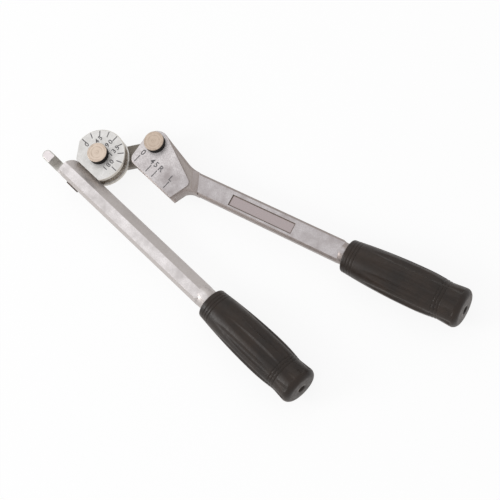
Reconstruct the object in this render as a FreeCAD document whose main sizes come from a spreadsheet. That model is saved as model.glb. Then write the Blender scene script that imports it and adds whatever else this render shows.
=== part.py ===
import FreeCAD, Part
import math
import os

import Sketcher

# Manual lever tube bender for 3/8 in (9.5 mm) tube on a 15/16 in (23.8 mm) bend radius.
#
# Frame: millimetres, +Z up.  The origin is on the axis of the wheel pin, at the flat end
# of its riveted tail, which is what the tool stands on.  +X runs along the form handle
# towards its grip, and +Y points to the bending handle's side.  The middle plane of the
# tube, the forming wheel and both handles lies at mid_height.

SIZES = {
    # the tube and the bend
    "tube_radius": 4.76,
    "bend_radius": 23.8,
    "groove_clearance": 0.1,
    "mid_height": 18.0,
    # forming wheel
    "wheel_rim_fall": 0.4,
    "wheel_thickness": 16.0,
    "wheel_edge_chamfer": 0.5,
    "relief_start_y": 1.0,
    "relief_end_x": 13.0,
    # pivot pins, bushes and washers
    "pin_radius": 5.0,
    "pin_head_radius": 8.8,
    "pin_head_height": 6.9,
    "pin_head_chamfer": 0.5,
    "tail_head_radius": 6.5,
    "tail_head_height": 1.0,
    "washer_radius": 8.5,
    "washer_thickness": 1.2,
    "thrust_washer_thickness": 0.6,
    "bush_wall": 1.5,
    "running_clearance": 0.05,
    "side_play": 0.1,
    # link
    "link_length": 51.2,
    "link_angle": 52.3,
    "link_half_width": 10.0,
    "link_edge_chamfer": 0.8,
    # form handle
    "bar_axis_offset": 26.0,
    "bar_half_width": 9.6,
    "bar_half_height": 8.5,
    "bar_flat_width": 8.4,
    "bar_flat_shift": 2.6,
    "bar_inner_land": 2.5,
    "bar_outer_land": 4.5,
    "bar_end_x": 159.0,
    "nose_gap": 0.5,
    "nose_inner_round": 7.0,
    "nose_outer_round": 5.5,
    "runout_length": 5.0,
    # handle ends and grips
    "shank_radius": 9.5,
    "shank_length": 8.0,
    "beam_shank_length": 5.2,
    "tang_radius": 8.0,
    "grip_length": 109.0,
    "grip_end_wall": 9.0,
    "grip_belly_radius": 17.9,
    "grip_neck_fall": 3.6,
    "grip_waist_fall": 1.7,
    "grip_flare_rise": 1.0,
    "grip_belly_from_end": 43.0,
    "grip_waist_from_end": 18.0,
    "grip_waist_round": 24.0,
    "grip_end_round": 5.5,
    "grip_neck_round": 1.5,
    "grip_vent_radius": 2.2,
    "grip_ring_depth": 0.45,
    "grip_ring_half_width": 0.5,
    "grip_ring_pitch": 2.8,
    "grip_ring_start": 5.0,
    "flute_radius": 4.2,
    "flute_depth": 1.3,
    "flute_count": 10.0,
    # wheel dowels
    "dowel_radius": 2.0,
    "dowel_length": 11.0,
    "dowel_spacing": 10.0,
    # tube clip
    "clip_width": 9.0,
    "clip_side_gap": 0.3,
    "clip_outer_step": 0.3,
    "clip_saddle_clearance": 0.19,
    "clip_web": 3.7,
    "clip_tip_length": 13.2,
    "clip_tip_height": 6.4,
    "clip_tip_slope": 9.0,
    "clip_tip_flat": 0.4,
    "clip_tip_bevel": 0.8,
    "clip_mouth_flare": 2.8,
    "clip_heel_reach": 2.0,
    "clip_eye_radius": 4.5,
    "clip_pin_radius": 2.0,
    "clip_pin_x": 2.0,
    "clip_pin_drop": 2.0,
    "clip_pin_wall": 0.9,
    "clip_head_radius": 6.5,
    "clip_head_height": 1.0,
    "clip_head_chamfer": 0.3,
    "slot_roof_height": 4.2,
    "slot_end_gap": 1.0,
    # bending handle: shoe
    "shoe_lip_recess": 1.6,
    "shoe_heel": 8.0,
    "shoe_heel_round": 7.0,
    "shoe_toe": 45.2,
    "shoe_toe_lean": 4.9,
    "shoe_shoulder_drop": 5.2,
    "shoe_shoulder_round": 5.0,
    "shoe_edge_round": 0.5,
    "boss_radius": 11.7,
    "toe_ledge": 1.2,
    "neck_step": 0.8,
    "neck_slope_run": 6.0,
    "neck_slope_turn": 40.4,
    "neck_bevel": 2.0,
    # bending handle: beam
    "handle_angle": 16.3,
    "handle_offset": 16.3,
    "beam_back_width": 10.0,
    "beam_throat_width": 8.2,
    "beam_end_width": 9.3,
    "beam_half_height": 5.0,
    "beam_bevel": 2.0,
    "beam_throat_start": 43.5,
    "beam_back_start": 41.4,
    "neck_throat_end": 55.0,
    "neck_back_end": 48.0,
    "beam_end": 191.8,
    "beam_shoulder_length": 0.8,
    "throat_round": 12.0,
    "back_round": 28.0,
    "panel_start": 84.2,
    "panel_length": 61.6,
    "panel_width": 10.0,
    "panel_depth": 0.8,
}


OVERRUN = 1.0  # how far a cutting outline runs past the face that it cuts


class Size:
    """A number together with the spreadsheet expression that gives it."""

    def __init__(self, value, text):
        self.value = value
        self.text = text

    def joined(self, other, sign, value):
        other_text = other.text if isinstance(other, Size) else repr(float(other))
        return Size(value, "(%s %s %s)" % (self.text, sign, other_text))

    def __add__(self, other):
        return self.joined(other, "+", self.value + number(other))

    def __sub__(self, other):
        return self.joined(other, "-", self.value - number(other))

    def __mul__(self, other):
        return self.joined(other, "*", self.value * number(other))

    def __truediv__(self, other):
        return self.joined(other, "/", self.value / number(other))

    def __neg__(self):
        return Size(-self.value, "(-1 * %s)" % self.text)


def number(thing):
    return thing.value if isinstance(thing, Size) else float(thing)


def as_size(thing):
    return thing if isinstance(thing, Size) else Size(float(thing), repr(float(thing)))


def cosine(angle):
    return Size(math.cos(math.radians(angle.value)), "cos(%s)" % angle.text)


def sine(angle):
    return Size(math.sin(math.radians(angle.value)), "sin(%s)" % angle.text)


def root(square):
    return Size(math.sqrt(square.value), "sqrt(%s)" % square.text)


doc = FreeCAD.newDocument("tube_bender")
sheet = doc.addObject("Spreadsheet::Sheet", "sizes")
for row, (alias, amount) in enumerate(SIZES.items(), start=1):
    sheet.set("A%d" % row, alias)
    sheet.set("B%d" % row, str(amount))
    sheet.setAlias("B%d" % row, alias)
doc.recompute()


def size(alias):
    return Size(SIZES[alias], "sizes.%s" % alias)


# ---------------------------------------------------------------- sketches and features


def bind(thing, path, amount):
    amount = as_size(amount)
    thing.setExpression(path, amount.text)


def new_body(name, x=0.0, y=0.0, z=0.0, turn=0.0):
    """An empty body whose own frame stands at x, y, z, turned about Z."""
    body = doc.addObject("PartDesign::Body", name)
    body.Label = name
    place = FreeCAD.Vector(number(x), number(y), number(z))
    rotation = FreeCAD.Rotation(FreeCAD.Vector(0, 0, 1), 1.0 + number(turn))
    body.Placement = FreeCAD.Placement(place, rotation)
    for axis, amount in zip("xyz", (x, y, z)):
        bind(body, "Placement.Base.%s" % axis, amount)
    bind(body, "Placement.Rotation.Angle", as_size(turn) * 1.0)
    return body


def new_sketch(body, name, plane, lift=0.0, shift=(0.0, 0.0), turn=0.0, axis=(0, 0, 1)):
    """A sketch on an origin plane, lifted along its normal, shifted and turned in it.

    Another axis than the normal, such as the plane's upright (0, 1, 0), swings it instead.
    """
    sketch = body.newObject("Sketcher::SketchObject", name)
    support = [part for part in body.Origin.OriginFeatures if part.Role == plane][0]
    sketch.AttachmentSupport = [(support, "")]
    sketch.MapMode = "FlatFace"
    place = FreeCAD.Vector(number(shift[0]), number(shift[1]), number(lift))
    rotation = FreeCAD.Rotation(FreeCAD.Vector(*axis), 1.0 + number(turn))
    sketch.AttachmentOffset = FreeCAD.Placement(place, rotation)
    for letter, amount in zip("xyz", (shift[0], shift[1], lift)):
        bind(sketch, "AttachmentOffset.Base.%s" % letter, amount)
    bind(sketch, "AttachmentOffset.Rotation.Angle", as_size(turn) * 1.0)
    return sketch


def fix_point(sketch, element, which, x, y):
    for kind, amount in (("DistanceX", x), ("DistanceY", y)):
        rule = Sketcher.Constraint(kind, -1, 1, element, which, number(amount))
        place = sketch.addConstraint(rule)
        bind(sketch, "Constraints[%d]" % place, amount)


def round_side(start, end, radius, turn):
    """An arc from start to end, anticlockwise for a turn of 1 and clockwise for -1."""
    along = end - start
    rise = math.sqrt(radius * radius - along.Length * along.Length / 4) * turn
    centre = (start + end) / 2 + FreeCAD.Vector(-along.y, along.x, 0).normalize() * rise
    begin, finish = (start, end) if turn > 0 else (end, start)
    first = math.atan2(begin.y - centre.y, begin.x - centre.x)
    last = math.atan2(finish.y - centre.y, finish.x - centre.x)
    whole = Part.Circle(centre, FreeCAD.Vector(0, 0, 1), radius)
    return Part.ArcOfCircle(whole, first, last if last > first else last + 2 * math.pi)


def closed_outline(sketch, corners, rounds=None):
    """A closed outline through corners given as sizes.

    Sides are straight, apart from those in rounds, which gives a side's arc by the index
    of its first corner: its radius, and 1 for an anticlockwise or -1 for a clockwise arc.
    """
    rounds = rounds or {}
    spots = [FreeCAD.Vector(number(x), number(y), 0) for x, y in corners]
    first = sketch.GeometryCount
    count = len(spots)
    ends = []
    for i in range(count):
        start, end = spots[i], spots[(i + 1) % count]
        if i in rounds:
            radius, turn = rounds[i]
            side = round_side(start, end, number(radius), turn)
            ends.append((1, 2) if turn > 0 else (2, 1))
        else:
            side = Part.LineSegment(start, end)
            ends.append((1, 2))
        sketch.addGeometry(side, False)
    for i in range(count):
        after = (i + 1) % count
        joint = Sketcher.Constraint("Coincident", first + i, ends[i][1],
                                    first + after, ends[after][0])
        sketch.addConstraint(joint)
        fix_point(sketch, first + i, ends[i][0], corners[i][0], corners[i][1])
    for i, (radius, turn) in rounds.items():
        rule = sketch.addConstraint(Sketcher.Constraint("Radius", first + i, number(radius)))
        bind(sketch, "Constraints[%d]" % rule, radius)


def circle(sketch, x, y, radius):
    centre = FreeCAD.Vector(number(x), number(y), 0)
    ring = Part.Circle(centre, FreeCAD.Vector(0, 0, 1), number(radius))
    element = sketch.addGeometry(ring, False)
    fix_point(sketch, element, 3, x, y)
    rule = sketch.addConstraint(Sketcher.Constraint("Radius", element, number(radius)))
    bind(sketch, "Constraints[%d]" % rule, radius)


def settle(feature):
    """Recompute, and stop at once if the feature could not be built."""
    doc.recompute()
    if "Invalid" in feature.State or feature.Shape.isNull() or not feature.Shape.isValid():
        raise RuntimeError("%s could not be built" % feature.Name)
    return feature


def pad(body, name, sketch, length, symmetric=False, backwards=False):
    feature = body.newObject("PartDesign::Pad", name)
    feature.Profile = sketch
    feature.SideType = "Symmetric" if symmetric else "One side"
    feature.Reversed = backwards
    bind(feature, "Length", length)
    return settle(feature)


def cut(body, name, sketch, length=None, symmetric=False, backwards=False):
    """A pocket; without a length it goes right through, both ways."""
    before = body.Shape.Volume
    feature = body.newObject("PartDesign::Pocket", name)
    feature.Profile = sketch
    if length is None:
        feature.SideType = "Symmetric"
        feature.Type = "ThroughAll"
    else:
        feature.SideType = "Symmetric" if symmetric else "One side"
        feature.Reversed = backwards
        bind(feature, "Length", length)
    settle(feature)
    if body.Shape.Volume >= before:
        raise RuntimeError("%s removes nothing" % name)
    return feature


def turned(body, name, kind, sketch, axis):
    """A Revolution or a Groove of a sketch about one of its own axes."""
    before = body.Shape.Volume if kind == "Groove" else 0.0
    feature = body.newObject("PartDesign::" + kind, name)
    feature.Profile = sketch
    feature.ReferenceAxis = (sketch, [axis])
    feature.Angle = 360.0
    settle(feature)
    if kind == "Groove" and body.Shape.Volume >= before:
        raise RuntimeError("%s removes nothing" % name)
    return feature


def upright_edges(body, spots, reach=1.0):
    """Names of the edges parallel to the body's Z that stand over the given points."""
    names = []
    for index, edge in enumerate(body.Tip.Shape.Edges, start=1):
        low, high = edge.Vertexes[0].Point, edge.Vertexes[-1].Point
        flat = math.hypot(high.x - low.x, high.y - low.y)
        if flat > 0.01 or abs(high.z - low.z) < 0.5:
            continue
        for x, y in spots:
            if math.hypot(low.x - number(x), low.y - number(y)) < reach:
                names.append("Edge%d" % index)
                break
    return names


def edges_where(body, test):
    shape = body.Tip.Shape
    return ["Edge%d" % i for i, edge in enumerate(shape.Edges, start=1) if test(edge)]


def is_level(edge, height):
    """Whether an edge lies flat at the height given, above or below the body's middle."""
    spots = [vertex.Point.z for vertex in edge.Vertexes] + [edge.CenterOfMass.z]
    return all(abs(abs(z) - height.value) < 0.01 for z in spots)


def dress(body, name, kind, edges, amount):
    """A Fillet or Chamfer of the named edges of the body's tip."""
    if not edges:
        raise RuntimeError("%s finds no edge" % name)
    base = body.Tip
    feature = body.newObject("PartDesign::" + kind, name)
    feature.Base = (base, edges)
    bind(feature, "Radius" if kind == "Fillet" else "Size", amount)
    return settle(feature)


def ring(name, inner, outer, bottom, thickness, x=0.0, y=0.0):
    """A washer or bush standing on bottom."""
    body = new_body(name, x, y, bottom)
    sketch = new_sketch(body, name + "_section", "XY_Plane")
    circle(sketch, 0.0, 0.0, outer)
    circle(sketch, 0.0, 0.0, inner)
    pad(body, name + "_pad", sketch, thickness)
    return body


# ------------------------------------------------------------------------ derived sizes

MID = size("mid_height")
TUBE_GROOVE_RADIUS = size("tube_radius") + size("groove_clearance")
WHEEL_RADIUS = size("bend_radius") - size("wheel_rim_fall")
WHEEL_BOTTOM = MID - size("wheel_thickness") / 2
WHEEL_TOP = MID + size("wheel_thickness") / 2
SHOE_HALF_THICKNESS = size("wheel_thickness") / 2
SHOE_TOP = MID + SHOE_HALF_THICKNESS

TAIL_WASHER_BOTTOM = size("tail_head_height")
LINK_BOTTOM = TAIL_WASHER_BOTTOM + size("washer_thickness") + size("side_play")
LINK_TOP = WHEEL_BOTTOM - size("side_play") - size("thrust_washer_thickness")
LINK_THICKNESS = LINK_TOP - LINK_BOTTOM
BUSH_BORE = size("pin_radius") + size("running_clearance")
BUSH_OUTER = BUSH_BORE + size("bush_wall")

SHOE_PIN_X = size("link_length") * cosine(size("link_angle"))
SHOE_PIN_Y = size("link_length") * sine(size("link_angle"))

BAR_Y = -size("bar_axis_offset")
BAR_INNER_Y = BAR_Y + size("bar_half_width")
BAR_OUTER_Y = BAR_Y - size("bar_half_width")
CLIP_Y = BAR_OUTER_Y + size("clip_outer_step") + size("clip_width") / 2
POCKET_Y = CLIP_Y + size("clip_width") / 2 + size("clip_side_gap")
DOWEL_END_Y = BAR_INNER_Y - size("dowel_length") / 2
CLIP_PIN_DEPTH = DOWEL_END_Y - size("clip_pin_wall") - POCKET_Y
NOSE_X = -(size("bend_radius") - size("tube_radius") - size("nose_gap"))
SHANK_END = size("bar_end_x") + size("shank_length")
TANG_LENGTH = size("grip_length") - size("grip_end_wall")
BEAM_SHANK_END = size("beam_end") + size("beam_shank_length")

# The bending handle's own frame has its origin on the shoe pin and its X along the shoe's
# tube channel; the beam's frame is turned by handle_angle, with its X on the beam's axis.
CHANNEL_Y = -(size("link_length") - size("bend_radius"))
LIP_Y = CHANNEL_Y + size("shoe_lip_recess")
BEAM_FOOT_X = size("handle_offset") * sine(size("handle_angle"))
BEAM_FOOT_Y = -size("handle_offset") * cosine(size("handle_angle"))
BEAM_FRAME = {"shift": (BEAM_FOOT_X, BEAM_FOOT_Y), "turn": size("handle_angle")}


def on_beam(along, across):
    """A point of the beam's frame in the bending handle's own frame."""
    along, across = as_size(along), as_size(across)
    cos_a, sin_a = cosine(size("handle_angle")), sine(size("handle_angle"))
    x = BEAM_FOOT_X + along * cos_a - across * sin_a
    y = BEAM_FOOT_Y + along * sin_a + across * cos_a
    return x, y


def touch_point(x, y, radius, side):
    """Where a line from (x, y) touches a circle round the origin, on the side given."""
    far = x * x + y * y
    near = radius * radius / far
    across = radius * root(far - radius * radius) / far * side
    return x * near - y * across, y * near + x * across


def rounded_corner(before, corner, after, radius):
    """Where an arc of the radius given leaves and meets the two sides of a corner."""
    sides = []
    for other in (before, after):
        run, rise = other[0] - corner[0], other[1] - corner[1]
        length = root(run * run + rise * rise)
        sides.append((run / length, rise / length))
    (ax, ay), (bx, by) = sides
    lean = ax * bx + ay * by
    reach = radius * root((lean + 1.0) / (-lean + 1.0))
    return [(corner[0] + ux * reach, corner[1] + uy * reach) for ux, uy in sides]


# ---------------------------------------------------------------------------- sub-parts


def round_handle_end(body, frame, start, end, root_radius, root_length):
    """The round shank and the tang inside the grip, on the X axis of a handle's frame."""
    shank = size("shank_radius")
    tang = size("tang_radius")
    root_x = start - root_length
    sketch = new_sketch(body, body.Name + "_shank_section", "XY_Plane", **frame)
    closed_outline(sketch, [
        (root_x, 0.0), (root_x, root_radius), (start, shank), (end, shank), (end, tang),
        (end + TANG_LENGTH, tang), (end + TANG_LENGTH, 0.0),
    ])
    turned(body, body.Name + "_shank", "Revolution", sketch, "H_Axis")


def runout(body, frame, start, corner_radius):
    """A cone that runs the forged section down to the round shank."""
    sketch = new_sketch(body, body.Name + "_runout_section", "XY_Plane", **frame)
    wide = corner_radius + OVERRUN
    closed_outline(sketch, [
        (start - size("runout_length"), corner_radius),
        (start, size("shank_radius")),
        (start + OVERRUN, size("shank_radius")),
        (start + OVERRUN, wide),
        (start - size("runout_length"), wide),
    ])
    turned(body, body.Name + "_runout", "Groove", sketch, "H_Axis")


def form_handle():
    """Forged bar with bevelled edges, a slotted nose for the clip and a round end."""
    body = new_body("form_handle", 0.0, BAR_Y, MID)
    half = size("bar_half_width")
    top = size("bar_half_height")
    flat_outer = -size("bar_flat_shift") - size("bar_flat_width") / 2
    flat_inner = -size("bar_flat_shift") + size("bar_flat_width") / 2
    inner_land = size("bar_inner_land")
    outer_land = size("bar_outer_land")
    section = new_sketch(body, "bar_section", "YZ_Plane", lift=NOSE_X)
    closed_outline(section, [
        (flat_outer, top), (-half, outer_land), (-half, -outer_land), (flat_outer, -top),
        (flat_inner, -top), (half, -inner_land), (half, inner_land), (flat_inner, top),
    ])
    pad(body, "bar", section, size("bar_end_x") - NOSE_X)
    plain = {"shift": (0.0, 0.0), "turn": 0.0}
    round_handle_end(body, plain, size("bar_end_x"), SHANK_END, top, size("runout_length"))
    runout(body, plain, size("bar_end_x"), root(half * half + top * top))

    for side, amount in ((1, "nose_inner_round"), (-1, "nose_outer_round")):
        radius = size(amount)
        edge_y = half * side
        beyond_x, beyond_y = NOSE_X - OVERRUN, edge_y + OVERRUN * side
        corner = new_sketch(body, amount + "_outline", "XY_Plane")
        closed_outline(corner, [
            (NOSE_X, edge_y - radius * side), (NOSE_X + radius, edge_y),
            (NOSE_X + radius, beyond_y), (beyond_x, beyond_y),
            (beyond_x, edge_y - radius * side),
        ], {0: (radius, -side)})
        cut(body, amount + "_cut", corner)

    pin_x = -size("clip_pin_x")
    pocket_end = pin_x + size("clip_eye_radius") + size("slot_end_gap")
    pocket_side = BAR_Y - POCKET_Y
    pocket = new_sketch(body, "clip_pocket_outline", "XZ_Plane", lift=pocket_side)
    closed_outline(pocket, [
        (NOSE_X - OVERRUN, -top - OVERRUN), (pocket_end, -top - OVERRUN),
        (pocket_end, size("slot_roof_height")), (NOSE_X - OVERRUN, size("slot_roof_height")),
    ])
    cut(body, "clip_pocket", pocket, half - pocket_side + OVERRUN, backwards=True)

    hole = new_sketch(body, "clip_pin_hole_outline", "XZ_Plane", lift=pocket_side)
    circle(hole, pin_x, -size("clip_pin_drop"), size("clip_pin_radius"))
    cut(body, "clip_pin_hole", hole, CLIP_PIN_DEPTH)

    for index, side in enumerate((-1.0, 1.0), start=1):
        dowel = new_sketch(body, "dowel_hole_outline_%d" % index, "XZ_Plane", lift=-half)
        circle(dowel, size("dowel_spacing") / 2 * side, 0.0, size("dowel_radius"))
        cut(body, "dowel_hole_%d" % index, dowel, size("dowel_length") / 2, backwards=True)
    return body


def forming_wheel():
    """Grooved former, cut straight where it seats on the bar and where the tube lies."""
    body = new_body("forming_wheel", 0.0, 0.0, MID)
    half = size("wheel_thickness") / 2
    rim = WHEEL_RADIUS
    bevel = size("wheel_edge_chamfer")
    bore = size("pin_radius")
    section = new_sketch(body, "wheel_section", "XZ_Plane")
    closed_outline(section, [
        (bore, -half), (rim - bevel, -half), (rim, -half + bevel),
        (rim, half - bevel), (rim - bevel, half), (bore, half),
    ])
    turned(body, "wheel_blank", "Revolution", section, "V_Axis")

    groove = new_sketch(body, "tube_groove_section", "XZ_Plane")
    circle(groove, size("bend_radius"), 0.0, TUBE_GROOVE_RADIUS)
    turned(body, "tube_groove", "Groove", groove, "V_Axis")

    far = rim + OVERRUN
    chord = new_sketch(body, "bar_seat_outline", "XY_Plane")
    closed_outline(chord, [(-far, BAR_INNER_Y), (-far, -far), (far, -far), (far, BAR_INNER_Y)])
    cut(body, "bar_seat", chord)

    relief = new_sketch(body, "tube_relief_outline", "XY_Plane")
    closed_outline(relief, [
        (-far, -size("relief_start_y")), (-size("relief_end_x"), BAR_INNER_Y),
        (-size("relief_end_x"), BAR_INNER_Y - OVERRUN), (-far, BAR_INNER_Y - OVERRUN),
    ])
    cut(body, "tube_relief", relief)

    for index, side in enumerate((-1.0, 1.0), start=1):
        hole = new_sketch(body, "wheel_dowel_hole_outline_%d" % index, "XZ_Plane",
                          lift=-BAR_INNER_Y)
        circle(hole, size("dowel_spacing") / 2 * side, 0.0, size("dowel_radius"))
        cut(body, "wheel_dowel_hole_%d" % index, hole, size("dowel_length") / 2)
    return body


def wheel_dowels():
    """Two dowels that key the wheel to the side of the bar."""
    holder = []
    for index, side in enumerate((-1.0, 1.0), start=1):
        dowel = doc.addObject("Part::Cylinder", "dowel_%d" % index)
        bind(dowel, "Radius", size("dowel_radius"))
        bind(dowel, "Height", size("dowel_length"))
        dowel.Placement = FreeCAD.Placement(FreeCAD.Vector(0, 0, 0),
                                            FreeCAD.Rotation(FreeCAD.Vector(1, 0, 0), -90))
        bind(dowel, "Placement.Base.x", size("dowel_spacing") / 2 * side)
        bind(dowel, "Placement.Base.y", DOWEL_END_Y)
        bind(dowel, "Placement.Base.z", MID)
        holder.append(dowel)
    group = doc.addObject("Part::Compound", "wheel_dowels")
    group.Label = "wheel_dowels"
    group.Links = holder
    doc.recompute()
    return group


def pivot_pin(name, x, y, head_seat):
    """Shouldered pin with a flat cheese head and a riveted tail that ends at floor level."""
    body = new_body(name, x, y, 0.0)
    head = size("pin_head_radius")
    bevel = size("pin_head_chamfer")
    top = head_seat + size("pin_head_height")
    tail = size("tail_head_radius")
    tail_top = size("tail_head_height")
    shaft = size("pin_radius")
    section = new_sketch(body, name + "_section", "XZ_Plane")
    closed_outline(section, [
        (0.0, 0.0), (tail - tail_top / 2, 0.0), (tail, tail_top / 2), (tail, tail_top),
        (shaft, tail_top), (shaft, head_seat), (head, head_seat), (head, top - bevel),
        (head - bevel, top), (0.0, top),
    ])
    turned(body, name + "_turned", "Revolution", section, "V_Axis")
    return body


def link():
    """Flat link under the wheel and the shoe, with a bushed eye at each end."""
    body = new_body("link", 0.0, 0.0, LINK_BOTTOM, size("link_angle"))
    half = size("link_half_width")
    length = size("link_length")
    outline = new_sketch(body, "link_outline", "XY_Plane")
    closed_outline(outline, [(0.0, -half), (length, -half), (length, half), (0.0, half)])
    pad(body, "link_bar", outline, LINK_THICKNESS)
    for index, centre in enumerate((as_size(0.0), length), start=1):
        end = new_sketch(body, "link_end_outline_%d" % index, "XY_Plane")
        circle(end, centre, 0.0, half)
        pad(body, "link_end_%d" % index, end, LINK_THICKNESS)
    rims = edges_where(body, lambda edge: edge.Length > 5.0
                       and abs(edge.Vertexes[0].Point.z - edge.Vertexes[-1].Point.z) < 0.01
                       and abs(edge.CenterOfMass.z - edge.Vertexes[0].Point.z) < 0.01)
    dress(body, "link_bevel", "Chamfer", rims, size("link_edge_chamfer"))
    for index, centre in enumerate((as_size(0.0), length), start=1):
        eye = new_sketch(body, "link_eye_outline_%d" % index, "XY_Plane")
        circle(eye, centre, 0.0, BUSH_OUTER)
        cut(body, "link_eye_%d" % index, eye)
    return body


def bending_handle():
    """Forged shoe, sloping neck and bevelled beam in one piece."""
    body = new_body("bending_handle", SHOE_PIN_X, SHOE_PIN_Y, MID)
    heel = -size("shoe_heel")
    toe = size("shoe_toe")
    boss = size("boss_radius")
    shoulder_x = toe + size("shoe_toe_lean")
    shoulder_y = -size("shoe_shoulder_drop")
    boss_side = touch_point(heel, LIP_Y, boss, -1.0)
    boss_back = touch_point(shoulder_x, shoulder_y, boss, 1.0)
    height = size("beam_half_height")
    back_side = size("beam_back_width")
    throat = on_beam(size("beam_throat_start"), -size("beam_throat_width"))
    back = on_beam(size("beam_back_start"), back_side)
    neck_low = on_beam(size("neck_throat_end"), -size("beam_throat_width"))
    neck_high = on_beam(size("neck_back_end"), back_side)
    neck_top = SHOE_HALF_THICKNESS - size("neck_step")

    end = size("beam_end")
    beam = new_sketch(body, "beam_outline", "XY_Plane")
    closed_outline(beam, [
        neck_low, on_beam(end, -size("beam_end_width")), on_beam(end, back_side), neck_high,
    ])
    pad(body, "beam", beam, height * 2, True)
    long_edges = edges_where(body, lambda edge: is_level(edge, height) and edge.Length > 100.0)
    dress(body, "beam_bevel", "Chamfer", long_edges, size("beam_bevel"))

    neck = new_sketch(body, "neck_outline", "XY_Plane")
    closed_outline(neck, [
        (heel + size("shoe_heel_round"), LIP_Y), (toe + size("toe_ledge"), LIP_Y), throat,
        neck_low, neck_high, back, boss_back, (0.0, 0.0),
    ])
    pad(body, "neck", neck, neck_top * 2, True)
    dress(body, "throat", "Fillet", upright_edges(body, [throat]), size("throat_round"))
    dress(body, "back", "Fillet", upright_edges(body, [back]), size("back_round"))
    root_x = (neck_low[0] + neck_high[0]) / 2
    root_y = (neck_low[1] + neck_high[1]) / 2
    rim = edges_where(body, lambda edge: is_level(edge, neck_top)
                      and edge.CenterOfMass.x > boss.value
                      and edge.CenterOfMass.y > LIP_Y.value + 0.1
                      and math.hypot(edge.CenterOfMass.x - root_x.value,
                                     edge.CenterOfMass.y - root_y.value) > 1.0)
    dress(body, "neck_bevel", "Chamfer", rim, size("neck_bevel"))
    wedge = new_sketch(body, "neck_slope_section", "XZ_Plane", lift=-root_y,
                       shift=(root_x, 0.0), turn=size("neck_slope_turn"), axis=(0, 1, 0))
    for side in (1.0, -1.0):
        closed_outline(wedge, [
            (-size("neck_slope_run"), neck_top * side), (0.0, height * side),
            (OVERRUN * 2, height * side), (OVERRUN * 2, (neck_top + OVERRUN) * side),
            (-size("neck_slope_run"), (neck_top + OVERRUN) * side),
        ])
    cut(body, "neck_slope", wedge)

    thick = SHOE_HALF_THICKNESS * 2
    plateau = new_sketch(body, "shoe_outline", "XY_Plane")
    shoulder = rounded_corner((toe, LIP_Y), (shoulder_x, shoulder_y), boss_back,
                              size("shoe_shoulder_round"))
    closed_outline(plateau, [
        (heel, LIP_Y), (toe, LIP_Y), *shoulder, boss_back, (0.0, 0.0), boss_side,
    ], {2: (size("shoe_shoulder_round"), 1)})
    pad(body, "shoe_block", plateau, thick, True)
    eye = new_sketch(body, "boss_outline", "XY_Plane")
    circle(eye, 0.0, 0.0, boss)
    pad(body, "boss", eye, thick, True)
    dress(body, "shoe_heel", "Fillet", upright_edges(body, [(heel, LIP_Y)]),
          size("shoe_heel_round"))
    rim = edges_where(body, lambda edge: is_level(edge, SHOE_HALF_THICKNESS)
                      and edge.CenterOfMass.y > LIP_Y.value + 2.0
                      and edge.CenterOfMass.x > boss.value * 0.5)
    dress(body, "shoe_edge", "Fillet", rim, size("shoe_edge_round"))

    corner = root(back_side * back_side + height * height)
    round_handle_end(body, BEAM_FRAME, end, BEAM_SHANK_END, height,
                     size("beam_shoulder_length"))
    runout(body, BEAM_FRAME, end, corner)

    panel = new_sketch(body, "panel_outline", "XY_Plane", lift=height, **BEAM_FRAME)
    side = size("panel_width") / 2
    start = size("panel_start")
    end = start + size("panel_length")
    closed_outline(panel, [(start, -side), (end, -side), (end, side), (start, side)])
    cut(body, "name_panel", panel, size("panel_depth"))

    channel = new_sketch(body, "channel_section", "YZ_Plane")
    circle(channel, CHANNEL_Y, 0.0, TUBE_GROOVE_RADIUS)
    cut(body, "tube_channel", channel)
    bore = new_sketch(body, "shoe_pin_hole_outline", "XY_Plane")
    circle(bore, 0.0, 0.0, size("pin_radius"))
    cut(body, "shoe_pin_hole", bore)
    return body


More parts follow.
